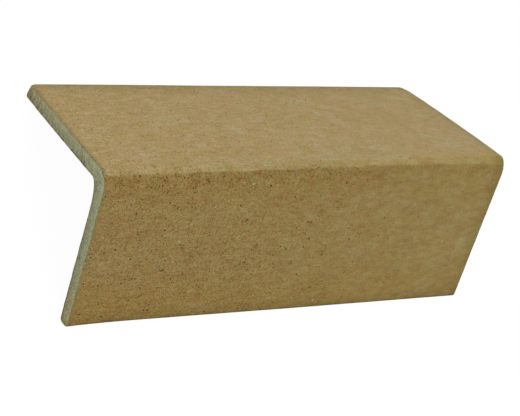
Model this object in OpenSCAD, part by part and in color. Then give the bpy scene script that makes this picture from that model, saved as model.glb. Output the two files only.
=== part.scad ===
// Pallet edge protector: one laminated board folded along its length into an angle,
// with wrapped, rounded free edges and sawn ends.
// It rests like a tent, fold up, on both free edges. Length along X, fold along the top.

/* [Board] */
// Length along the top of the fold
board_l = 150; // [80:1:400]
// Thickness of the laminated board
board_t = 4.4; // [3:0.1:7]

/* [Flanges] */
// Width of the front flange, from the fold's outer corner to the free edge
front_w = 50; // [35:0.5:90]
// Width of the back flange, from the fold's outer corner to the free edge
back_w = 52; // [35:0.5:90]
// Radius of the wrapped free edges
edge_r = 1.3; // [0.4:0.1:1.4]

/* [Fold] */
// Radius on the outside of the fold
fold_outer_r = 4.5; // [1:0.1:8]
// Radius on the inside of the fold
fold_inner_r = 3.5; // [1:0.1:8]

/* [Saw cuts] */
// Lean of both sawn ends, which leaves the fold longer than the free edges
cut_lean = 3.5; // [0:0.1:8]

/* [Hidden] */
$fn = 96;
kraft = [0.62, 0.53, 0.34];
// Allowance by which cutting shapes run past the board
over = 2;
// Angle of the front flange from vertical at which both free edges touch the floor
stand_a = atan2(front_w - board_t, back_w - board_t);
// Height of the fold's square outer corner, before rounding, above the floor
corner_z = cos(stand_a) * (front_w - edge_r) + sin(stand_a) * (board_t - edge_r) + edge_r;
// Height of the top of the rounded fold
fold_z = corner_z - fold_outer_r * (cos(stand_a) + sin(stand_a) - 1);
// How far each flange reaches forwards and backwards from the fold's corner
front_reach = sin(stand_a) * (front_w - edge_r) - cos(stand_a) * edge_r + edge_r;
back_reach = cos(stand_a) * (back_w - edge_r) - sin(stand_a) * edge_r + edge_r;
// Place of the fold's corner along Y, with the feet centred on the origin
corner_y = (front_reach - back_reach) / 2;

// Half of the board's length at a height above the floor
function half_l(z) = board_l / 2 - (fold_z - z) * tan(cut_lean);

// The sliver between a square corner at the origin and the arc that rounds it
module corner(r) {
    difference() {
        square(r);
        translate([r, r]) circle(r = r);
    }
}

// One flange along X, its free edge rounded on both sides
module flange(w) {
    difference() {
        square([w, board_t]);
        translate([w, 0]) rotate(90) corner(edge_r);
        translate([w, board_t]) rotate(180) corner(edge_r);
    }
}

// The board's section: the front flange along X, the back one along Y, rounded at the fold
module angle_section() {
    difference() {
        union() {
            flange(front_w);
            mirror([1, -1]) flange(back_w);
            translate([board_t, board_t]) corner(fold_inner_r);
        }
        corner(fold_outer_r);
    }
}

// The folded board before sawing, standing on its free edges
module folded_run() {
    rotate([90, 0, 90])
        linear_extrude(height = 2 * half_l(fold_z + over) + over, center = true)
            translate([corner_y, corner_z]) rotate(-90 - stand_a) angle_section();
}

// The length that is left between the two saw cuts
module between_cuts() {
    low = -over;
    high = fold_z + over;
    rotate([90, 0, 0])
        linear_extrude(height = 2 * (front_w + back_w), center = true)
            polygon([
                [-half_l(low), low],
                [half_l(low), low],
                [half_l(high), high],
                [-half_l(high), high]
            ]);
}

module angle_board() {
    color(kraft) intersection() {
        folded_run();
        between_cuts();
    }
}

angle_board();
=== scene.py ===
"""Looks of a pallet edge protector: one kraft-wrapped board, folded along its length and sawn at both ends.

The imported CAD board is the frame. A Geometry Nodes sweep of the same section takes its place, with the
twist, the uneven skin and the sawn ends of a real board, and its surfaces are procedural materials.
Lengths are in metres, in the CAD frame: +X along the fold, +Z up, the front flange towards -Y.
The materials measure in millimetres, on the board as it was before it was bent and twisted.
"""

import math
from types import SimpleNamespace

import bpy
from bpy.props import FloatProperty, FloatVectorProperty, IntProperty, PointerProperty
from mathutils import Matrix, Quaternion, Vector


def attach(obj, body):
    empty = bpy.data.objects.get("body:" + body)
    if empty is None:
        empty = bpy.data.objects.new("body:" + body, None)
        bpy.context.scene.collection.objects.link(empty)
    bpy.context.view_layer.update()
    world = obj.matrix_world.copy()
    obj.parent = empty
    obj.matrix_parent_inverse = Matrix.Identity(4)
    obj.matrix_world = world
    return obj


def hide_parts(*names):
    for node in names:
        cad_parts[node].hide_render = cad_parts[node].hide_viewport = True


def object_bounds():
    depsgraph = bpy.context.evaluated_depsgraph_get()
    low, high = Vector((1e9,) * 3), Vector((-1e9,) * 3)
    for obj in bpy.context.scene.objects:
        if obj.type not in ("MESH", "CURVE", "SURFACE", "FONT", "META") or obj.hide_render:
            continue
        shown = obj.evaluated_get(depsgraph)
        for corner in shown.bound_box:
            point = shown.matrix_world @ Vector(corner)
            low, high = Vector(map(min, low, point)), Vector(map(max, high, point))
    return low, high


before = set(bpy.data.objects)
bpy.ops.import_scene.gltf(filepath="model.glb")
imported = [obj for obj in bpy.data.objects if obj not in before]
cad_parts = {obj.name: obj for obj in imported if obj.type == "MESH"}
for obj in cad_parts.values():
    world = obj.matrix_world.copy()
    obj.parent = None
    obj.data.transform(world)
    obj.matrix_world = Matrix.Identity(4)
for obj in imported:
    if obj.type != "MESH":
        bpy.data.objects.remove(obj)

CAD_LOW, CAD_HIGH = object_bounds()
MM = 0.001
WHITE = (1.0, 1.0, 1.0, 1.0)

bl_info = {
    "name": "Edge Board",
    "version": (1, 0, 0),
    "blender": (4, 5, 0),
    "location": "View3D > Sidebar > Edge Board",
    "description": "Builds a folded, kraft-wrapped edge protector and its studio stage",
    "category": "Object",
}

# Moves, in millimetres, that keep one pattern from repeating another
SHIFTS = {
    "blush": (41.0, 7.0, 13.0),
    "dryness": (91.0, 53.0, 29.0),
    "warmth": (37.0, 11.0, 5.0),
    "redness": (5.0, 67.0, 23.0),
    "blueness": (83.0, 3.0, 59.0),
    "blue grain": (11.0, 29.0, 97.0),
    "chips": (7.0, 73.0, 37.0),
    "bleached": (71.0, 19.0, 43.0),
    "faded": (3.0, 57.0, 89.0),
    "flushed": (61.0, 13.0, 31.0),
    "hair lengths": (17.0, 31.0, 47.0),
    "chill": (19.0, 43.0, 7.0),
}


class Wire:
    """A node's output socket. Arithmetic on it adds Math nodes to its tree."""

    def __init__(self, graph, socket):
        self.graph = graph
        self.socket = socket

    def maths(self, operation, *values):
        return self.graph.node("ShaderNodeMath", {"operation": operation}, dict(enumerate(values)))

    def output(self, key):
        """Another output of the same node."""
        return Wire(self.graph, find_socket(self.socket.node.outputs, key))

    def __add__(self, other):
        return self.maths("ADD", self, other)

    def __radd__(self, other):
        return self.maths("ADD", other, self)

    def __sub__(self, other):
        return self.maths("SUBTRACT", self, other)

    def __rsub__(self, other):
        return self.maths("SUBTRACT", other, self)

    def __mul__(self, other):
        return self.maths("MULTIPLY", self, other)

    def __rmul__(self, other):
        return self.maths("MULTIPLY", other, self)

    def __truediv__(self, other):
        return self.maths("DIVIDE", self, other)

    def __rtruediv__(self, other):
        return self.maths("DIVIDE", other, self)

    def __neg__(self):
        return self.maths("MULTIPLY", self, -1.0)

    def __abs__(self):
        return self.maths("ABSOLUTE", self)

    def __lt__(self, other):
        return self.maths("LESS_THAN", self, other)

    def __gt__(self, other):
        return self.maths("GREATER_THAN", self, other)

    def sin(self):
        return self.maths("SINE", self)

    def cos(self):
        return self.maths("COSINE", self)

    def tan(self):
        return self.maths("TANGENT", self)

    def least(self, other):
        return self.maths("MINIMUM", self, other)

    def most(self, other):
        return self.maths("MAXIMUM", self, other)


def find_socket(sockets, key):
    """A socket by its place, its identifier or its name."""
    if isinstance(key, int):
        return sockets[key]
    for socket in sockets:
        if socket.identifier == key:
            return socket
    return sockets[key]


def opaque(colour):
    """A plain colour with its alpha; a wire stays as it is."""
    return colour if isinstance(colour, Wire) else (*colour, 1.0)


class Graph:
    """A node tree that is written as Python expressions."""

    def __init__(self, tree):
        self.tree = tree

    def node(self, kind, settings=None, sockets=None, out=0):
        """Adds a node: its settings first, then the values or links of its sockets."""
        made = self.tree.nodes.new(kind)
        for name, value in (settings or {}).items():
            if name == "captures":
                for socket_type, label in value:
                    made.capture_items.new(socket_type, label)
            else:
                setattr(made, name, value)
        for key, value in (sockets or {}).items():
            socket = find_socket(made.inputs, key)
            if isinstance(value, Wire):
                self.tree.links.new(value.socket, socket)
            else:
                socket.default_value = value
        return Wire(self, find_socket(made.outputs, out)) if made.outputs else made

    def vector(self, operation, *values, out=0):
        return self.node("ShaderNodeVectorMath", {"operation": operation}, dict(enumerate(values)), out)

    def scaled(self, vector, factor):
        return self.node("ShaderNodeVectorMath", {"operation": "SCALE"}, {0: vector, "Scale": factor})

    def drawn(self, place, share):
        """The place with its lengthwise part cut to a share, which draws a pattern out along the board."""
        return self.vector("MULTIPLY", place, (share, 1.0, 1.0))

    def shifted(self, place, name):
        """The place, moved by the shift of that name."""
        return self.vector("ADD", place, SHIFTS[name])

    def joined(self, x, y, z):
        return self.node("ShaderNodeCombineXYZ", None, {0: x, 1: y, 2: z})

    def split(self, vector):
        x = self.node("ShaderNodeSeparateXYZ", None, {0: vector})
        return x, x.output("Y"), x.output("Z")

    def smooth(self, value, low, high):
        """0 below low and 1 above high, with an eased step between; it falls where low is above high."""
        start, end = 0.0, 1.0
        if isinstance(low, float) and isinstance(high, float) and low > high:
            low, high, start, end = high, low, end, start
        return self.node(
            "ShaderNodeMapRange",
            {"interpolation_type": "SMOOTHSTEP"},
            {"Value": value, "From Min": low, "From Max": high, "To Min": start, "To Max": end},
        )

    def noise(self, place, scale, detail=2.0, roughness=0.5, distortion=0.0):
        """Noise about zero, mostly within half a unit either way."""
        sockets = {
            "Vector": place,
            "Scale": scale,
            "Detail": detail,
            "Roughness": roughness,
            "Distortion": distortion,
        }
        return self.node("ShaderNodeTexNoise", None, sockets) - 0.5

    def mixed(self, factor, first, second, blend="MIX"):
        settings = {"data_type": "RGBA", "blend_type": blend, "clamp_factor": True}
        sockets = {"Factor_Float": factor, "A_Color": opaque(first), "B_Color": opaque(second)}
        return self.node("ShaderNodeMix", settings, sockets, "Result_Color")


def size_prop(name, description, default):
    return FloatProperty(name=name, description=description, default=default, unit="LENGTH", precision=5)


def angle_prop(name, description, degrees):
    return FloatProperty(name=name, description=description, default=math.radians(degrees), subtype="ANGLE")


def share_prop(name, description, default, top=1.0):
    return FloatProperty(name=name, description=description, default=default, min=0.0, max=top)


def colour_prop(name, description, default):
    return FloatVectorProperty(
        name=name, description=description, default=default, size=3, subtype="COLOR", min=0.0, max=2.0
    )


def place_prop(name, description, default):
    return FloatVectorProperty(
        name=name, description=description, default=default, size=3, subtype="XYZ", unit="LENGTH"
    )


class BoardShape(bpy.types.PropertyGroup):
    """Sizes of the folded board, as the CAD solid has them, and how far the real one strays from it."""

    length: size_prop("Length", "Length along the top of the fold", CAD_HIGH.x - CAD_LOW.x)
    thickness: size_prop("Thickness", "Thickness of the laminated board", 4.4 * MM)
    front_width: size_prop("Front flange", "From the fold's outer corner to the front free edge", 50 * MM)
    back_width: size_prop("Back flange", "From the fold's outer corner to the back free edge", 52 * MM)
    edge_radius: size_prop("Edge radius", "Radius of the wrapped free edges", 1.3 * MM)
    fold_outer_radius: size_prop("Fold radius outside", "Radius on the outside of the fold", 4.5 * MM)
    fold_inner_radius: size_prop("Fold radius inside", "Radius on the inside of the fold", 3.5 * MM)
    left_back_fold: size_prop("Left fold, back", "Fold's reach down the back at the left", 5.35 * MM)
    left_front_fold: size_prop("Left fold, front", "Fold's reach down the front at the left", 5.66 * MM)
    right_back_fold: size_prop("Right fold, back", "Fold's reach down the back at the right", 3.14 * MM)
    right_front_fold: size_prop("Right fold, front", "Fold's reach down the front at the right", 5.52 * MM)
    inner_back_fold: size_prop("Inside, back", "Fold's inner reach down the back at the left", 2.64 * MM)
    inner_front_fold: size_prop("Inside, front", "Fold's inner reach down the front at the left", 8.08 * MM)
    left_back_lean: angle_prop("Left cut, back", "Lean of the left cut down the back flange", 3.16)
    left_front_lean: angle_prop("Left cut, front", "Lean of the left cut down the front flange", 2.365)
    right_back_lean: angle_prop("Right cut, back", "Lean of the right cut down the back flange", 4.113)
    right_front_lean: angle_prop("Right cut, front", "Lean of the right cut down the front flange", 2.502)
    left_bow: size_prop("Left cut bow", "How far the left cut bows out across the back flange", 0.2 * MM)
    right_bow: size_prop("Right cut bow", "How far the right cut bows out across the back flange", 0.8 * MM)
    twist: angle_prop("Twist", "Turn of the section from the left end to the right end", -2.7645)
    twist_depth: size_prop("Twist depth", "How far down each flange the axis of the twist lies", 12.5 * MM)
    left_wear: size_prop("Left tip wear", "How much of the back flange's left tip is worn off", 0.9 * MM)
    right_wear: size_prop("Right tip wear", "How much of the back flange's right tip is worn off", 0.3 * MM)
    wear_reach: size_prop("Wear reach", "Length of free edge that a worn tip takes up", 4.0 * MM)
    foot_spread: size_prop("Foot spread", "How far the front flange's left foot is spread", 0.5 * MM)
    foot_reach: size_prop("Foot reach", "Length of the spread foot", 26 * MM)
    skin: size_prop("Skin", "Thickness of the kraft skin that shows on the cuts", 0.14 * MM)
    recess: size_prop("Recess", "Depth of the grey core behind the skin's sawn rim", 0.06 * MM)
    ragged: size_prop("Ragged rim", "How far the skin's sawn rim strays along the length", 0.5 * MM)
    crush: size_prop("Crushed rim", "How far the saw presses the skin in at the cuts", 0.06 * MM)
    crush_reach: size_prop("Crush reach", "Length over which the skin is pressed in at the cuts", 0.5 * MM)
    tip_crush: size_prop("Crushed tips", "How far the back flange's tips are rounded over", 0.35 * MM)
    wave: size_prop("Wave", "Height of the long waves in the flanges", 0.22 * MM)
    ripple: size_prop("Ripple", "Height of the short ripples in the skin", 0.05 * MM)
    step: size_prop("Mesh step", "Spacing of the mesh over the flanges", 0.9 * MM)
    arc_steps: IntProperty(
        name="Arc steps", description="Mesh steps in each rounded corner", default=12, min=3
    )


class BoardFinish(bpy.types.PropertyGroup):
    """Colours of the kraft skin and of the grey board inside it, with the skin's tints of painted sheen and
    shade.
    """

    kraft: colour_prop("Kraft", "Main colour of the kraft skin", (0.395, 0.262, 0.069))
    kraft_pale: colour_prop("Pale kraft", "Drier, greyer patches of the skin", (0.410, 0.310, 0.118))
    kraft_warm: colour_prop("Warm kraft", "Redder patches of the skin", (0.37, 0.225, 0.06))
    # Painted sheen: a lighter, bluer tint of the skin along the top of the fold, on its back side
    fold_sheen: colour_prop("Fold sheen", "Tint of the skin brightened along the top of the fold", (1.06, 1.12, 1.36))
    sallow: colour_prop("Sallow", "Tint of the skin behind the fold's right half", (1.0, 0.995, 0.76))
    # Painted shade: a darker tint of the skin just below the top of the fold, on the front
    fold_shade: colour_prop("Fold shade", "Tint of the skin just below the top of the fold", (0.89, 0.885, 0.83))
    # Painted shade: darkens the skin along the back free edge and the right cut
    edge_shade: colour_prop("Edge shade", "Tint of the skin darkened at its edges", (0.71, 0.71, 0.50))
    cut_shade: colour_prop("Cut shade", "Tint of the skin bruised by the saw", (0.42, 0.45, 0.20))
    low_shade: colour_prop("Low shade", "Tint of the lower part of the front flange", (1.0, 0.98, 0.76))
    foot_shade: colour_prop("Foot shade", "Tint of the skin along the front free edge", (0.65, 0.69, 0.53))
    crease: colour_prop("Crease", "Tint of the skin stretched below the fold", (0.98, 0.94, 0.80))
    # Painted shade: darkens the rounded free edges of both flanges in a narrow line
    rim_shade: colour_prop("Rim shade", "Tint of the free edges' handled rims", (0.72, 0.80, 0.60))
    speck_dark: colour_prop("Dark specks", "Tint of bark specks and dark fibres", (0.30, 0.19, 0.0))
    bark: colour_prop("Bark", "Tint of the few near-black chips of bark in the skin", (0.22, 0.12, 0.0))
    stain: colour_prop("Stain", "Tint of the skin stained round bark and dark fibres", (0.95, 0.90, 0.55))
    faded: colour_prop("Faded", "Tint of soft, greener spots in the skin", (0.92, 1.01, 1.28))
    flushed: colour_prop("Flushed", "Tint of soft, pinker spots in the skin", (1.04, 0.95, 1.02))
    speck_pale: colour_prop("Pale specks", "Bleached fibres in the skin", (0.72, 0.62, 0.44))
    core: colour_prop("Core", "Grey board on the sawn ends", (0.370, 0.376, 0.222))
    core_back: colour_prop("Back core", "Tint of the grey board across the back flange", (1.02, 0.97, 0.93))
    core_dark: colour_prop("Dark core", "Scores of the saw across the grey board", (0.16, 0.15, 0.08))
    core_pale: colour_prop("Pale core", "Dusty fibres raised by the saw", (0.52, 0.53, 0.37))
    core_warm: colour_prop("Warm core", "Grey board browned at the flanges' ends", (0.43, 0.355, 0.175))
    fray: colour_prop("Frayed skin", "Olive fringe of the skin at the cuts", (0.29, 0.25, 0.085))
    rim: colour_prop("Skin rim", "Sawn rim of the kraft skin", (0.39, 0.335, 0.15))


class StageLook(bpy.types.PropertyGroup):
    """Camera, light and floor."""

    azimuth: angle_prop("Azimuth", "Turn of the view about +Z, 0 looking along +Y", -72.482)
    elevation: angle_prop("Elevation", "Height of the view above the floor", 50.459)
    roll: angle_prop("Roll", "Turn of the camera about its own axis", 65.067)
    distance: size_prop("Distance", "From the camera to the point it looks at", 657.74 * MM)
    target: place_prop("Target", "Point the camera looks at", (-5.285 * MM, -6.325 * MM, 13.923 * MM))
    lens: FloatProperty(
        name="Lens", description="Focal length, on 36 mm", default=151.608, subtype="DISTANCE_CAMERA"
    )
    ambient: share_prop("Ambient", "Brightness of the studio around the board", 0.79, top=2.0)
    room: share_prop("Room", "Brightness of the studio walls in reflections", 0.12)
    key_power: FloatProperty(
        name="Key power", description="Power of the soft key lamp", default=13.8, unit="POWER"
    )
    key_size: size_prop("Key size", "Side of the soft key lamp", 1.6)
    key_place: place_prop("Key place", "Where the key lamp hangs; it points at the board", (0.6, 2.4, 1.1))
    floor_half: size_prop("Floor half", "Half the side of the floor", 6.0)
    floor_grey: share_prop("Floor colour", "Brightness of the floor's own colour", 0.65)
    floor_near: share_prop("Floor mirrored, front", "Share of the front floor in reflections", 0.28)
    floor_far: share_prop("Floor mirrored, back", "Share of the back floor in reflections", 1.42, top=1.5)
    floor_white: share_prop("Floor white", "Share of plain white over the floor's shadows", 0.9)
    floor_glow: share_prop("Floor glow", "Brightness of that plain white", 1.07, top=2.0)


class EdgeBoardSettings(bpy.types.PropertyGroup):
    """All that can be set on the edge board and its stage."""

    shape: PointerProperty(type=BoardShape)
    finish: PointerProperty(type=BoardFinish)
    stage: PointerProperty(type=StageLook)


class Stance:
    """How the folded section stands: u runs down the front flange and v down the back one."""

    def __init__(self, shape):
        front, back = shape.front_width, shape.back_width
        edge, board = shape.edge_radius, shape.thickness
        angle = math.atan2(front - board, back - board)
        self.sin, self.cos = math.sin(angle), math.cos(angle)
        self.corner_z = self.cos * (front - edge) + self.sin * (board - edge) + edge
        front_reach = self.sin * (front - edge) - self.cos * edge + edge
        back_reach = self.cos * (back - edge) - self.sin * edge + edge
        self.corner_y = (front_reach - back_reach) / 2
        self.axis_y = self.corner_y + shape.twist_depth * (self.cos - self.sin)
        self.axis_z = self.corner_z - shape.twist_depth * (self.cos + self.sin)
        self.fold_radius = shape.fold_outer_radius
        self.fold_top = shape.fold_outer_radius * (1 - math.sqrt(0.5))


def between(share, first, second):
    """A value that goes evenly from the first to the second as the share goes from 0 to 1."""
    return first + (second - first) * share


def near(gap, reach):
    """1 at a gap of nothing, falling off to 0 at the reach."""
    share = (1.0 - gap / reach).most(0.0)
    return share * share


def cleared(owner):
    """The graph of a material or a world, with nothing in it yet."""
    owner.use_nodes = True
    owner.node_tree.nodes.clear()
    return Graph(owner.node_tree)


def placed(name, data):
    """A new object in the scene."""
    made = bpy.data.objects.new(name, data)
    bpy.context.scene.collection.objects.link(made)
    return made


def new_paint(name):
    """An empty material, its graph and the unbent place in millimetres: along, down front, down back."""
    material = bpy.data.materials.new(name)
    graph = cleared(material)
    rest = graph.node("ShaderNodeAttribute", {"attribute_name": "rest"}, None, "Vector")
    return material, graph, graph.scaled(rest, 1 / MM)


def finish_paint(graph, colour, roughness, height, relief, specular):
    """Ends a material in one shader, with its relief given as a bump in metres."""
    normal = graph.node("ShaderNodeBump", None, {"Strength": 1.0, "Distance": relief, "Height": height})
    shader = graph.node(
        "ShaderNodeBsdfPrincipled",
        None,
        {"Base Color": colour, "Roughness": roughness, "Normal": normal, "Specular IOR Level": specular},
    )
    graph.node("ShaderNodeOutputMaterial", None, {"Surface": shader})


def specks(graph, place, spacing, radius, share):
    """Spots in a share of the cells of a jittered lattice, each with its own size and strength."""
    cells = graph.node(
        "ShaderNodeTexVoronoi",
        {"voronoi_dimensions": "3D", "feature": "F1"},
        {"Vector": place, "Scale": 1 / spacing, "Randomness": 1.0},
        "Distance",
    )
    chance, size, strength = graph.split(cells.output("Color"))
    spot = graph.smooth(cells * spacing / (radius * (0.4 + size)), 1.0, 0.35)
    return (chance < share) * spot * (0.3 + 0.7 * strength)


def slanted(graph, place, degrees, draw):
    """The place turned on the skin about its own normal, and drawn out along its new first axis."""
    along, down_front, down_back = graph.split(place)
    across, depth = down_front - down_back, down_front.least(down_back)
    cos, sin = math.cos(math.radians(degrees)), math.sin(math.radians(degrees))
    return graph.joined((along * cos + across * sin) * draw, across * cos - along * sin, depth)


def hairs(graph, place, spacing, width, share):
    """Thin, curved fibres: short lengths of the lines along which a noise crosses zero."""
    line = abs(graph.noise(place, 1 / spacing, detail=1.0, distortion=1.2))
    length = graph.noise(graph.shifted(place, "hair lengths"), 2.2 / spacing, detail=1.0)
    return graph.smooth(line, width, width * 0.35) * graph.smooth(length, 0.3 - share, 0.36 - share)


class SkinPattern:
    """Noises that the kraft skin's colour, gloss and relief share."""

    def __init__(self, graph, place):
        drawn = graph.drawn(place, 0.6)
        self.cloud = graph.noise(drawn, 0.05, detail=1.0)
        self.blotch = graph.noise(drawn, 0.16)
        self.mottle = graph.noise(drawn, 0.5, roughness=0.6)
        self.grain = graph.noise(place, 1.1, roughness=0.6)
        self.fine = graph.noise(place, 2.8, detail=1.0)
        self.fibre = graph.noise(graph.drawn(place, 0.14), 1.2, roughness=0.6)
        self.wisp = graph.noise(graph.drawn(place, 0.22), 0.6, roughness=0.6)
        self.blush = graph.noise(graph.shifted(place, "blush"), 1.5, roughness=0.6)
        self.dryness = graph.noise(graph.shifted(drawn, "dryness"), 0.2, detail=3.0, roughness=0.6)
        self.warmth = graph.noise(graph.shifted(drawn, "warmth"), 0.3, detail=3.0, roughness=0.6)
        self.redness = graph.noise(graph.shifted(place, "redness"), 0.35, detail=3.0, roughness=0.7)
        self.blueness = graph.noise(graph.shifted(place, "blueness"), 0.35, detail=3.0, roughness=0.6)
        self.blue_grain = graph.noise(graph.shifted(place, "blue grain"), 0.6, detail=3.0, roughness=0.65)


class SkinZones:
    """Where the skin is stretched or sawn, and where sheen and shade are painted on it, as shares from 0 to
    1.
    """

    # From where each zone starts to where it is full, in millimetres from the line it follows
    FOLD_LINE = (-1.4, -0.45)
    SHEEN_BAND = (4.4, 2.2)
    SALLOW = (14.0, 5.0)
    CREASE = (15.0, 2.0)
    FOLD_SHADE = (5.0, 1.0)
    LOW = (18.0, 3.0)
    RIM_SHADOW = (1.5, 0.2)
    TIP = (6.0, 1.0)
    WARMER = (30.0, 46.0)

    # How far each zone fades out from its edge, in millimetres
    BACK_SHADE, RIGHT_SHADE, SAWN, TRODDEN = 10.0, 7.5, 2.1, 6.0

    def __init__(self, graph, shape, place, pattern):
        along, down_front, down_back = graph.split(place)
        mottle, blotch = pattern.mottle, pattern.blotch
        half = shape.length / MM / 2
        past_fold = down_back - down_front
        right = along > 0.0
        front_gap = shape.front_width / MM - down_front
        back_gap = shape.back_width / MM - down_back
        self.cut_gap = half - abs(along)
        # From -1 at the left cut to 1 at the right one
        self.side = along / half

        wander = graph.noise(graph.joined(along, 0.0, 0.0), 0.06, detail=1.0) * 1.2 + mottle * 0.6
        wander = wander - 1.2 * graph.smooth(self.side, 0.55, 1.0)
        self.front = graph.smooth(wander - past_fold, *self.FOLD_LINE)
        behind = 1.0 - self.front
        # Painted sheen along the top of the fold, on its back side
        self.sheen_band = behind * graph.smooth(past_fold, *self.SHEEN_BAND)
        self.sallow = behind * graph.smooth(past_fold, *self.SALLOW) * graph.smooth(self.side, 0.1, 0.9)
        stretched = graph.smooth(down_front + blotch * 9.0 + mottle * 4.0, *self.CREASE)
        self.creased = self.front * stretched * (0.8 - 0.35 * self.side)
        # Painted shade just below the top of the fold
        self.fold_shade = self.front * graph.smooth(down_front + mottle, *self.FOLD_SHADE)
        # Painted shade along the back free edge and the right cut
        right_shade = near(self.cut_gap + mottle, self.RIGHT_SHADE) * right * 0.8
        self.shaded = near(back_gap + mottle, self.BACK_SHADE).most(right_shade)
        bruised = near(self.cut_gap + pattern.grain * 0.8 + mottle, self.SAWN)
        self.sawn = bruised * (1.0 - 0.65 * self.front) * (1.0 - right)
        # Painted shade towards the front free edge
        self.foot_shaded = near(front_gap + mottle, self.TRODDEN)
        self.low = graph.smooth(front_gap + blotch * 6.0, *self.LOW) * (0.75 - 0.35 * self.side)
        # Painted shade on the rounded free edges of both flanges
        self.shadowed = graph.smooth(front_gap.least(back_gap) + mottle * 0.6, *self.RIM_SHADOW)
        self.tip = graph.smooth(back_gap, *self.TIP)
        # Painted shade: the front flange warmer, with less of the floor's sheen, towards its free edge
        self.warmer = graph.smooth(down_front, *self.WARMER)


def skin_ground(graph, finish, pattern, zones):
    """The skin's colour before its grain: pale and warm patches, and the tints of its zones, painted sheen
    and shade among them.
    """
    # Pale patches of the skin, with a larger pale share over the whole back flange as painted sheen
    pale_and_sheen = graph.smooth(pattern.dryness + zones.side * 0.06 + 0.06 * (1.0 - zones.front), 0.0, 0.25)
    warm = graph.smooth(pattern.warmth, 0.0, 0.25) * (0.25 + 0.4 * zones.front)
    colour = graph.mixed(pale_and_sheen * 0.6, finish.kraft, finish.kraft_pale)
    colour = graph.mixed(warm, colour, finish.kraft_warm)
    # Painted shade: the lower front flange turned warmer
    colour = graph.mixed(zones.warmer * 0.4, colour, finish.kraft_warm)
    tints = (
        (zones.sheen_band, finish.fold_sheen),
        (zones.sallow, finish.sallow),
        (zones.creased, finish.crease),
        (zones.fold_shade, finish.fold_shade),
        (zones.shaded, finish.edge_shade),
        (zones.sawn, finish.cut_shade),
        (zones.low, finish.low_shade),
        (zones.foot_shaded, finish.foot_shade),
        (zones.shadowed, finish.rim_shade),
    )
    for share, tint in tints:
        colour = graph.mixed(share, colour, tint, "MULTIPLY")
    return colour


# How much further than red the skin's green and blue stray, behind the fold and before it
FINE_GREEN, FINE_BLUE = (1.17, 1.23), (3.3, 2.9)
BROAD_GREEN, BROAD_BLUE = (1.25, 1.85), (6.2, 3.0)
# How much less of that the broad blue has where sheen is painted along the top of the fold
SHEEN_BAND_BLUE = 2.8


def skin_grain(graph, pattern, zones):
    """Tint of the skin's grain, streaks and mottles, whose dark parts lose blue first and then green, with
    painted light along the length.
    """
    front, side = zones.front, zones.side
    behind = (0.525 - 0.16 * side) * (1.0 - 0.35 * zones.sheen_band)
    before = (0.26 + 0.41 * graph.smooth(side, 0.75, -0.6)) * (1.0 - 0.05 * zones.creased)
    speckle = pattern.fine * 2.1 + pattern.grain * 1.3
    streak = (pattern.fibre * 0.35 + pattern.wisp * 0.35) * (1.0 - 0.5 * front) * (0.75 - 0.4 * side)
    stray = between(front, behind, before) * (speckle - 0.45 * speckle * speckle) + streak
    broad = pattern.mottle * 0.35 + pattern.blotch * 0.18 + pattern.cloud * 0.09
    # The back flange lighter towards the left cut, painted light against the key lamp's nearer right end;
    # the front flange lighter towards the right cut
    level = 1.0 + 0.03 * (front * 2.0 - 1.0) * side
    reddened = between(front, 0.68 + 0.6 * graph.smooth(side, -0.9, 0.1), 1.05 - 0.12 * side)
    rosy = (pattern.redness * 0.24 + pattern.blush * 0.24) * reddened - 0.014 * front * side
    bluish = pattern.blue_grain * between(front, 1.0, 0.34 + 0.3 * side)
    bluish = bluish + pattern.blueness * between(front, 0.95, 0.6)
    broad_blue = between(front, *BROAD_BLUE) - SHEEN_BAND_BLUE * zones.sheen_band * (1.0 - front)

    red = level + stray + broad + rosy
    green = level + stray * between(front, *FINE_GREEN) + broad * between(front, *BROAD_GREEN) - rosy * 0.7
    blue = level + stray * between(front, *FINE_BLUE) + broad * broad_blue + bluish
    return graph.joined(red, green, blue.most(0.05))


def skin_flecks(graph, place, pattern, zones):
    """Dark bark and fibres, near-black chips, bleached fibres, and faded and flushed spots, as shares."""
    front, side, creased = zones.front, zones.side, zones.creased
    uneven = graph.joined(pattern.grain * 0.5, pattern.mottle * 0.5, pattern.fine * 0.4)
    warped = graph.vector("ADD", place, uneven)
    sharp = graph.smooth(side, 0.75, -0.15)
    busy = 0.004 + sharp * (0.23 + 0.22 * creased * graph.smooth(side, 0.2, -0.3))
    few = graph.smooth(side, 0.5, -0.1) * (0.1 + 0.01 * front)
    few = few + graph.smooth(side, 0.1, -0.5) * creased * 0.22 + near(zones.cut_gap, 1.8) * 0.9
    rare = 0.003 + graph.smooth(side, 0.3, -0.3) * (0.09 + 0.1 * front + 0.1 * creased)

    dark = specks(graph, warped, spacing=1.1, radius=0.3, share=busy)
    for degrees, draw, spacing in ((0.0, 0.45, 1.7), (38.0, 0.4, 2.1), (-52.0, 0.4, 2.1)):
        sliver = specks(graph, slanted(graph, warped, degrees, draw), spacing, radius=0.27, share=busy)
        dark = dark.most(sliver * 0.75)
    hair = hairs(graph, place, spacing=7.0, width=0.02, share=0.1 + 0.05 * front) * (0.2 + 0.8 * sharp)
    dark = dark.most(hair * 0.6)
    chip = specks(graph, graph.shifted(warped, "chips"), spacing=1.25, radius=0.3, share=few)
    bleached = specks(graph, graph.shifted(warped, "bleached"), spacing=1.9, radius=0.33, share=rare)
    faded = specks(graph, graph.shifted(warped, "faded"), spacing=8.0, radius=2.4, share=0.4)
    flushed = specks(graph, graph.shifted(warped, "flushed"), spacing=7.0, radius=1.8, share=0.35)
    return dark, chip, bleached, faded, flushed


SKIN_RELIEF, SKIN_SHEEN = 0.06 * MM, 0.58
CORE_RELIEF, RIM_RELIEF, SAWN_SHEEN = 0.12 * MM, 0.1 * MM, 0.25


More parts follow.
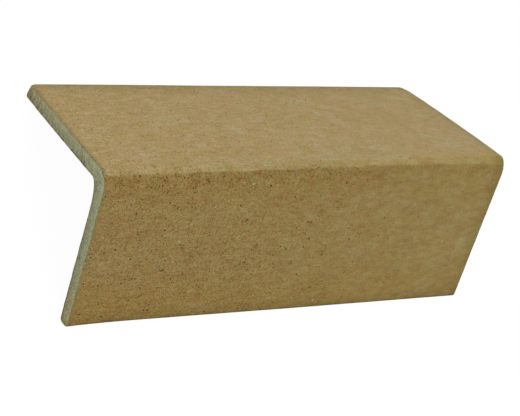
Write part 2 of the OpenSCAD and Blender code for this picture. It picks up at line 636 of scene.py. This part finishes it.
def kraft_skin(shape, finish):
    """The wrapped kraft liner: mottled, faintly streaked along its length and flecked with bark."""
    material, graph, place = new_paint("kraft_skin")
    pattern = SkinPattern(graph, place)
    zones = SkinZones(graph, shape, place, pattern)
    dark, chip, bleached, faded, flushed = skin_flecks(graph, place, pattern, zones)
    stained = graph.smooth(dark.most(chip), 0.0, 0.3)
    fringe = 0.16 + 0.3 * zones.front + 1.2 * zones.tip
    torn_gap = zones.cut_gap + pattern.grain * 1.6 + pattern.mottle * 3.0 + pattern.blotch * 2.0
    frayed = graph.smooth(torn_gap / fringe, 1.0, 0.7)

    colour = skin_ground(graph, finish, pattern, zones)
    colour = graph.mixed(1.0, colour, skin_grain(graph, pattern, zones), "MULTIPLY")
    colour = graph.mixed(faded * (0.9 - 0.2 * zones.front), colour, finish.faded, "MULTIPLY")
    colour = graph.mixed(flushed * 0.7, colour, finish.flushed, "MULTIPLY")
    colour = graph.mixed(frayed * 0.85, colour, finish.fray)
    colour = graph.mixed(stained, colour, finish.stain, "MULTIPLY")
    colour = graph.mixed(dark, colour, finish.speck_dark, "MULTIPLY")
    colour = graph.mixed(graph.smooth(chip, 0.15, 0.4), colour, finish.bark, "MULTIPLY")
    colour = graph.mixed(bleached * 0.75, colour, finish.speck_pale)

    roughness = 0.5 + pattern.mottle * 0.12 + pattern.grain * 0.2
    height = pattern.grain * 0.7 + pattern.fine * 0.5 + pattern.fibre * 0.6 + bleached * 0.3 - dark * 0.3
    finish_paint(graph, colour, roughness, height, SKIN_RELIEF, SKIN_SHEEN)
    return material


def grey_core(shape, finish):
    """The grey board inside, scored by the saw along the front flange and across the back one."""
    material, graph, place = new_paint("grey_core")
    _, down_front, down_back = graph.split(place)
    wall = shape.thickness / MM
    front_gap = shape.front_width / MM - down_front
    back_gap = shape.back_width / MM - down_back
    depth = down_front.least(down_back)
    scored = graph.vector("MULTIPLY", place, (1.0, 0.2, 1.0))
    score = graph.noise(scored, 0.8, detail=3.0, roughness=0.7)
    fine_score = graph.noise(scored, 2.0, roughness=0.6)
    pulp = graph.noise(place, 1.4, detail=3.0, roughness=0.7)
    cloud = graph.noise(place, 0.2)
    ply = graph.noise(graph.joined(depth, cloud, 0.0), 1.5, detail=1.0)
    pit = graph.noise(place, 0.6, roughness=0.6)

    dark = graph.smooth(score + fine_score * 0.6, 0.08, 0.4)
    pale = graph.smooth(ply * 0.4 - score - fine_score * 0.4, 0.06, 0.4)
    inner = graph.smooth(depth + pulp * 0.9 + cloud * 0.8, wall - 0.75, wall - 0.1)
    outer = graph.smooth(depth + pulp * 0.6, 0.5, 0.1)
    tip = graph.smooth(back_gap - pulp * 3.0, 12.0, 2.0)
    foot = graph.smooth(front_gap - pulp * 3.0, 20.0, 1.0)
    worn = graph.smooth(back_gap - pulp * 1.5, 3.5, 0.5).most(graph.smooth(front_gap - pulp, 2.4, 0.4))
    behind = graph.smooth(down_back - down_front, 2.0, 8.0)
    folded = graph.smooth(down_front.most(down_back), 15.0, 6.0)
    nick = inner * graph.smooth(pit, 0.04, 0.16)
    chill = graph.noise(graph.shifted(place, "chill"), 0.5, roughness=0.6) * (1.0 - behind)
    fleck = specks(graph, place, spacing=1.2, radius=0.4, share=0.22)

    colour = graph.mixed(dark * 0.5, finish.core, finish.core_dark)
    colour = graph.mixed(pale * 0.6, colour, finish.core_pale)
    colour = graph.mixed((tip * 0.55).most(foot * 0.85), colour, finish.core_warm)
    colour = graph.mixed(behind, colour, finish.core_back, "MULTIPLY")
    colour = graph.mixed(worn * 0.6, colour, finish.fray)
    colour = graph.mixed(outer * 0.5, colour, finish.rim)
    colour = graph.mixed(inner * (0.35 + 0.5 * foot), colour, finish.core_dark)
    grade = 1.12 + 0.08 * folded - 0.24 * graph.smooth(depth + cloud, 0.5, wall - 0.6) - 0.12 * tip
    strokes = (score * 1.3 + fine_score * 1.7) * (0.5 + 0.5 * behind)
    level = grade + strokes + pulp * (2.2 - 1.0 * behind) + cloud * 0.25 + ply * 0.3
    tint = graph.joined(level * (1.0 - chill * 0.3), level, level * (1.0 + pulp * 0.15 + chill * 0.7))
    colour = graph.mixed(1.0, colour, tint, "MULTIPLY")
    colour = graph.mixed((fleck * 0.7).most(nick), colour, finish.speck_dark, "MULTIPLY")

    height = score * 0.8 + fine_score * 0.5 + pulp * 0.8 - nick
    finish_paint(graph, colour, 0.85 + pulp * 0.1, height, CORE_RELIEF, SAWN_SHEEN)
    return material


def skin_rim(finish):
    """The sawn rim of the kraft skin round each grey end."""
    material, graph, place = new_paint("skin_rim")
    pulp = graph.noise(place, 1.6, detail=4.0, roughness=0.7)
    worn = graph.smooth(graph.noise(place, 0.55, detail=3.0, roughness=0.65), -0.05, 0.2)
    colour = graph.mixed(worn * 0.7, finish.rim, finish.core)
    level = 1.0 + pulp * 0.5
    colour = graph.mixed(1.0, colour, graph.joined(level, level, level), "MULTIPLY")
    finish_paint(graph, colour, 0.85 + pulp * 0.1, pulp, RIM_RELIEF, SAWN_SHEEN)
    return material


# Settings of the board's shape that its sweep takes as inputs
SIZE_INPUTS = (
    "length", "thickness", "front_width", "back_width", "fold_inner_radius",
    "left_back_fold", "left_front_fold", "right_back_fold", "right_front_fold",
    "inner_back_fold", "inner_front_fold",
    "left_back_lean", "left_front_lean", "right_back_lean", "right_front_lean",
    "left_bow", "right_bow", "twist",
    "left_wear", "right_wear", "wear_reach", "foot_spread", "foot_reach",
    "skin", "recess", "ragged", "crush", "crush_reach", "tip_crush",
    "wave", "ripple", "step",
)
MATERIAL_INPUTS = ("Skin Material", "Core Material", "Rim Material")

# How strongly the mesh crowds towards the cuts, from 0 to 1, and how close to the end of the run a cut is
END_CROWDING, AT_CUT = 0.9, 0.9999
# From where to where, down each flange, a change of the fold's reach dies out
FOLD_EASE_START, FOLD_EASE_END = 4.5 * MM, 24 * MM
# Shares of the front flange between which its spread foot sets in
FOOT_TOP, FOOT_FULL = 0.75, 1.0
# How many waves, ripples and tears of the skin go to a metre, and how far the waves are drawn out
WAVES, RIPPLES, TEARS, WAVE_DRAW = 30.0, 260.0, 300.0, 0.6


def input_label(name):
    """The name of the sweep's input for a setting: left_bow gives Left Bow."""
    return name.replace("_", " ").title()


def board_tree(stance, arc_steps):
    """Sweeps the rounded section, cuts its ends on the lean, sinks the core and twists the whole."""
    tree = bpy.data.node_groups.new("angle_board", "GeometryNodeTree")
    tree.interface.new_socket("Geometry", in_out="INPUT", socket_type="NodeSocketGeometry")
    tree.interface.new_socket("Geometry", in_out="OUTPUT", socket_type="NodeSocketGeometry")
    for name in SIZE_INPUTS:
        tree.interface.new_socket(input_label(name), in_out="INPUT", socket_type="NodeSocketFloat")
    for label in MATERIAL_INPUTS:
        tree.interface.new_socket(label, in_out="INPUT", socket_type="NodeSocketMaterial")
    graph = Graph(tree)
    given = graph.node("NodeGroupInput", None, None, "Geometry")
    size = SimpleNamespace(**{name: given.output(input_label(name)) for name in SIZE_INPUTS})

    section = rounded_section(graph, given, size.step, arc_steps)
    section = graph.node(
        "GeometryNodeCaptureAttribute",
        {"captures": (("VECTOR", "Corner Place"), ("VECTOR", "Edge Line"))},
        {
            "Geometry": section,
            "Corner Place": graph.node("GeometryNodeInputPosition"),
            "Edge Line": graph.node("GeometryNodeInputTangent"),
        },
    )
    ends = {"Start": (0.0, 0.0, 0.0), "End": (0.0, 0.0, 1.0)}
    run = graph.node("GeometryNodeCurvePrimitiveLine", None, ends)
    stations = size.length / size.step
    run = graph.node("GeometryNodeResampleCurve", {"mode": "COUNT"}, {"Curve": run, "Count": stations})
    run = graph.node(
        "GeometryNodeCaptureAttribute",
        {"captures": (("FLOAT", "Share"),)},
        {"Geometry": run, "Share": graph.node("GeometryNodeSplineParameter", None, None, "Factor")},
    )
    swept = graph.node(
        "GeometryNodeCurveToMesh", None, {"Curve": run, "Profile Curve": section, "Fill Caps": True}
    )

    facing = graph.split(graph.node("GeometryNodeInputNormal"))[2]
    capped = graph.node(
        "GeometryNodeExtrudeMesh",
        {"mode": "FACES"},
        {"Mesh": swept, "Selection": abs(facing) > 0.5, "Offset Scale": 0.0, "Individual": True},
    )
    core, rim = capped.output("Top"), capped.output("Side")

    place, unbent = bent_place(graph, stance, size, section, run.output("Share"), core)
    board = graph.node(
        "GeometryNodeStoreNamedAttribute",
        {"data_type": "FLOAT_VECTOR", "domain": "POINT"},
        {"Geometry": capped, "Name": "rest", "Value": unbent},
    )
    board = graph.node("GeometryNodeSetPosition", None, {"Geometry": board, "Position": place})
    for domain, smooth in (("EDGE", True), ("FACE", 1.0 - core)):
        board = graph.node(
            "GeometryNodeSetShadeSmooth", {"domain": domain}, {"Geometry": board, "Shade Smooth": smooth}
        )
    board = graph.node("GeometryNodeRealizeInstances", None, {"Geometry": board})
    for label, chosen in zip(MATERIAL_INPUTS, (True, core, rim)):
        board = graph.node(
            "GeometryNodeSetMaterial",
            None,
            {"Geometry": board, "Selection": chosen, "Material": given.output(label)},
        )
    graph.node("NodeGroupOutput", None, {"Geometry": board})
    return tree


def rounded_section(graph, corners, step, arc_steps):
    """The section's corners as a closed line, each with its own radius, and the flats cut into steps."""
    line = graph.node("GeometryNodeMeshToPoints", None, {"Mesh": corners})
    line = graph.node("GeometryNodePointsToCurves", None, {"Points": line})
    line = graph.node("GeometryNodeSetSplineCyclic", None, {"Geometry": line, "Cyclic": True})
    radius = graph.node(
        "GeometryNodeInputNamedAttribute", {"data_type": "FLOAT"}, {"Name": "corner_radius"}
    )
    line = graph.node(
        "GeometryNodeFilletCurve", {"mode": "POLY"}, {"Curve": line, "Count": arc_steps, "Radius": radius}
    )
    here = graph.node("GeometryNodeInputPosition")
    following = graph.node("GeometryNodeOffsetPointInCurve", None, {"Offset": 1}, "Point Index")
    there = graph.node(
        "GeometryNodeFieldAtIndex",
        {"data_type": "FLOAT_VECTOR", "domain": "POINT"},
        {"Value": here, "Index": following},
    )
    gap = graph.vector("DISTANCE", here, there, out="Value")
    return graph.node("GeometryNodeSubdivideCurve", None, {"Curve": line, "Cuts": gap / step})


def refolded(graph, flat, wall, outer, inner):
    """The section with its fold drawn further or less far down each flange, which stays in its plane.

    The slack outside and inside is given for the front and the back flange, 1 for the fold as it is.
    """
    u, v, _ = graph.split(flat)
    inside = u.least(v) > wall / 2.0
    u, v = u - inside * wall, v - inside * wall
    eased = graph.smooth(u.most(v), FOLD_EASE_END, FOLD_EASE_START)
    front_slack, back_slack = (between(inside, out, within) - 1.0 for out, within in zip(outer, inner))
    return graph.joined(
        inside * wall + u + u.least(FOLD_EASE_START) * eased * front_slack,
        inside * wall + v + v.least(FOLD_EASE_START) * eased * back_slack,
        0.0,
    )


def cut_drop(stance, size, u, v, right, tip):
    """How far a cut lies short of the fold's top: its lean, the back flange's worn tip and its bow."""
    back_lean = between(right, size.left_back_lean, size.right_back_lean)
    front_lean = between(right, size.left_front_lean, size.right_front_lean)
    lean = (v - stance.fold_top) * back_lean.tan() + (u - stance.fold_top) * front_lean.tan()
    wear = tip * between(right, size.left_wear, size.right_wear)
    down = (v / size.back_width).least(1.0).most(0.0)
    bow = 4.0 * down * (1.0 - down) * between(right, size.left_bow, size.right_bow)
    return lean + wear - bow


def stood_up(stance, turn, u, v):
    """The section set on its free edges and turned about the axis of the twist: across and up."""
    y = v * stance.cos - u * stance.sin + stance.corner_y - stance.axis_y
    z = stance.corner_z - u * stance.cos - v * stance.sin - stance.axis_z
    turned_y = y * turn.cos() - z * turn.sin() + stance.axis_y
    turned_z = y * turn.sin() + z * turn.cos() + stance.axis_z
    return turned_y, turned_z


def bent_place(graph, stance, size, section, share, core):
    """Where each point of the sweep goes, and its unbent place: along, down the front, down the back."""
    flat = section.output("Corner Place")
    line_u, line_v, _ = graph.split(section.output("Edge Line"))
    outward = graph.joined(line_v, -line_u, 0.0)
    half = size.length / 2.0

    side = share * 2.0 - 1.0
    crowded = side + (side * math.pi).sin() * (END_CROWDING / math.pi)
    along = crowded * half
    u, v, _ = graph.split(flat)
    lie = graph.joined(along, u, v)
    wave = graph.noise(graph.drawn(lie, WAVE_DRAW), WAVES, detail=1.0) * size.wave
    ripple = graph.noise(lie, RIPPLES, detail=3.0, roughness=0.6) * size.ripple
    tear = graph.noise(lie, TEARS, detail=4.0, roughness=0.7) * size.ragged

    tip = (1.0 - (size.back_width - v) / size.wear_reach).most(0.0)
    outer = (1.0 - u / size.thickness).most(0.0)
    press = near((1.0 - abs(crowded)) * half, size.crush_reach * (1.0 + tip * 3.0))
    crush = (size.crush + size.tip_crush * tip * outer) * press
    push = wave + ripple - crush - size.skin * core
    outside = (
        between(share, size.left_front_fold, size.right_front_fold) / stance.fold_radius,
        between(share, size.left_back_fold, size.right_back_fold) / stance.fold_radius,
    )
    inside = (
        between(share, size.inner_front_fold / size.fold_inner_radius, 1.0),
        between(share, size.inner_back_fold / size.fold_inner_radius, 1.0),
    )
    folded = refolded(graph, flat, size.thickness, outside, inside)
    u, v, _ = graph.split(graph.vector("ADD", folded, graph.scaled(outward, push)))
    foot = graph.smooth(u / size.front_width, FOOT_TOP, FOOT_FULL)
    u = u + near((1.0 + crowded) * half, size.foot_reach) * foot * size.foot_spread

    drop = cut_drop(stance, size, u, v, side > 0.0, tip * tip * outer)
    stray = (tear * (1.0 - core) - size.recess * core) * (abs(side) > AT_CUT)
    x = crowded * (half - drop) + stray * side
    y, z = stood_up(stance, crowded * size.twist / 2.0, u, v)
    u, v, _ = graph.split(graph.vector("ADD", flat, graph.scaled(outward, -size.skin * core)))
    return graph.joined(x, y, z), graph.joined(along, u, v)


def section_corners(shape):
    """A mesh of the section's six corners and their radii, from the inside of the fold round the back."""
    wall, front, back = shape.thickness, shape.front_width, shape.back_width
    edge = shape.edge_radius
    corners = (
        (wall, wall, shape.fold_inner_radius),
        (wall, back, edge),
        (0.0, back, edge),
        (0.0, 0.0, shape.fold_outer_radius),
        (front, 0.0, edge),
        (front, wall, edge),
    )
    mesh = bpy.data.meshes.new("section_corners")
    mesh.from_pydata([(u, v, 0.0) for u, v, _ in corners], [], [])
    radii = mesh.attributes.new("corner_radius", "FLOAT", "POINT")
    radii.data.foreach_set("value", [radius for _, _, radius in corners])
    return mesh


def grown_mesh(mesh, tree, values):
    """The plain mesh that a Geometry Nodes tree makes of a start mesh; values are by input name."""
    grower = placed(tree.name, mesh)
    modifier = grower.modifiers.new(tree.name, "NODES")
    modifier.node_group = tree
    for item in tree.interface.items_tree:
        if item.in_out == "INPUT" and item.name in values:
            modifier[item.identifier] = values[item.name]
    depsgraph = bpy.context.evaluated_depsgraph_get()
    grown = bpy.data.meshes.new_from_object(grower.evaluated_get(depsgraph))
    bpy.data.objects.remove(grower)
    return grown


class EDGEBOARD_OT_angle_board(bpy.types.Operator):
    """Sweep, saw, twist and paint the folded board in place of the CAD solid"""

    bl_idname = "edge_board.angle_board"
    bl_label = "Angle board"

    def execute(self, context):
        settings = context.scene.edge_board
        shape, finish = settings.shape, settings.finish
        stance = Stance(shape)
        values = {input_label(name): getattr(shape, name) for name in SIZE_INPUTS}
        paints = (kraft_skin(shape, finish), grey_core(shape, finish), skin_rim(finish))
        values.update(zip(MATERIAL_INPUTS, paints))
        mesh = grown_mesh(section_corners(shape), board_tree(stance, shape.arc_steps), values)
        if not mesh.polygons:
            raise RuntimeError("the board's sweep made no faces")
        lowest = min(vertex.co.z for vertex in mesh.vertices)
        mesh.transform(Matrix.Translation((0.0, 0.0, -lowest)))
        board = placed("folded_board", mesh)
        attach(board, "root")
        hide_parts("angle_board")
        return {"FINISHED"}


# Places across the board between which the floor's mirrored level turns from front to back
FLOOR_TURN = (-0.05, 0.1)
SENSOR_WIDTH = 36.0
CLIP_START, CLIP_END = 0.01, 50.0


def floor_paint(stage):
    """Pale floor that shows as white, with the board's shadow faint on it."""
    material = bpy.data.materials.new("pale_floor")
    graph = cleared(material)
    camera = graph.node("ShaderNodeLightPath", None, None, "Is Camera Ray")
    _, across, _ = graph.split(graph.node("ShaderNodeTexCoord", None, None, "Object"))
    mirrored = between(graph.smooth(across, *FLOOR_TURN), stage.floor_near, stage.floor_far)
    level = stage.floor_grey * (1.0 + camera.output("Is Glossy Ray") * (mirrored - 1.0))
    plain = graph.node(
        "ShaderNodeBsdfPrincipled",
        None,
        {"Base Color": graph.joined(level, level, level), "Roughness": 1.0, "Specular IOR Level": 0.0},
    )
    white = graph.node("ShaderNodeEmission", None, {"Color": WHITE, "Strength": stage.floor_glow})
    shown = graph.node("ShaderNodeMixShader", None, {0: camera * stage.floor_white, 1: plain, 2: white})
    graph.node("ShaderNodeOutputMaterial", None, {"Surface": shown})
    return material


def studio_world(stage):
    """Even studio light that shows as white to the camera and as dim walls in reflections."""
    world = bpy.data.worlds.new("studio")
    graph = cleared(world)
    camera = graph.node("ShaderNodeLightPath", None, None, "Is Camera Ray")
    mirrored = camera.output("Is Glossy Ray")
    strength = camera + (1.0 - camera) * (mirrored * stage.room + (1.0 - mirrored) * stage.ambient)
    light = graph.node("ShaderNodeBackground", None, {"Color": WHITE, "Strength": strength})
    graph.node("ShaderNodeOutputWorld", None, {"Surface": light})
    return world


def pointed(place, target):
    """A turn that points -Z of a lamp or camera from one place to another."""
    return (Vector(target) - Vector(place)).to_track_quat("-Z", "Y")


class EDGEBOARD_OT_stage(bpy.types.Operator):
    """Lay the pale floor, hang the soft light and set the camera"""

    bl_idname = "edge_board.stage"
    bl_label = "Stage"

    def execute(self, context):
        scene, stage = context.scene, context.scene.edge_board.stage
        half = stage.floor_half
        corners = [(-half, -half, 0), (half, -half, 0), (half, half, 0), (-half, half, 0)]
        mesh = bpy.data.meshes.new("floor")
        mesh.from_pydata(corners, [], [(0, 1, 2, 3)])
        mesh.materials.append(floor_paint(stage))
        floor = placed("floor", mesh)
        scene.world = studio_world(stage)

        lamp = bpy.data.lights.new("soft_key", "AREA")
        lamp.shape, lamp.size, lamp.energy = "SQUARE", stage.key_size, stage.key_power
        key = placed("soft_key", lamp)
        key.rotation_mode = "QUATERNION"
        key.location = stage.key_place
        key.rotation_quaternion = pointed(stage.key_place, stage.target)

        flat = math.cos(stage.elevation)
        back = Vector(
            (math.sin(stage.azimuth) * flat, -math.cos(stage.azimuth) * flat, math.sin(stage.elevation))
        )
        eye = bpy.data.cameras.new("camera")
        eye.sensor_width, eye.lens = SENSOR_WIDTH, stage.lens
        eye.clip_start, eye.clip_end = CLIP_START, CLIP_END
        camera = placed("camera", eye)
        camera.rotation_mode = "QUATERNION"
        camera.location = Vector(stage.target) + back * stage.distance
        roll = Quaternion((0.0, 0.0, 1.0), stage.roll)
        camera.rotation_quaternion = pointed(back, (0.0, 0.0, 0.0)) @ roll
        scene.camera = camera
        scene.view_settings.view_transform = "Standard"
        return {"FINISHED"}


class EDGEBOARD_PT_sidebar(bpy.types.Panel):
    """Sizes, colours and stage of the edge board"""

    bl_idname = "EDGEBOARD_PT_sidebar"
    bl_label = "Edge Board"
    bl_space_type = "VIEW_3D"
    bl_region_type = "UI"
    bl_category = "Edge Board"

    def draw(self, context):
        settings = context.scene.edge_board
        listed = (
            (EDGEBOARD_OT_angle_board, (settings.shape, settings.finish)),
            (EDGEBOARD_OT_stage, (settings.stage,)),
        )
        for operator, groups in listed:
            box = self.layout.box()
            box.operator(operator.bl_idname)
            for group in groups:
                for name in group.__annotations__:
                    box.prop(group, name)


CLASSES = (
    BoardShape,
    BoardFinish,
    StageLook,
    EdgeBoardSettings,
    EDGEBOARD_OT_angle_board,
    EDGEBOARD_OT_stage,
    EDGEBOARD_PT_sidebar,
)


def register():
    for made in CLASSES:
        bpy.utils.register_class(made)
    bpy.types.Scene.edge_board = PointerProperty(type=EdgeBoardSettings)


def unregister():
    del bpy.types.Scene.edge_board
    for made in reversed(CLASSES):
        bpy.utils.unregister_class(made)


def main():
    register()
    bpy.ops.edge_board.angle_board()
    bpy.ops.edge_board.stage()


if __name__ == "__main__":
    main()
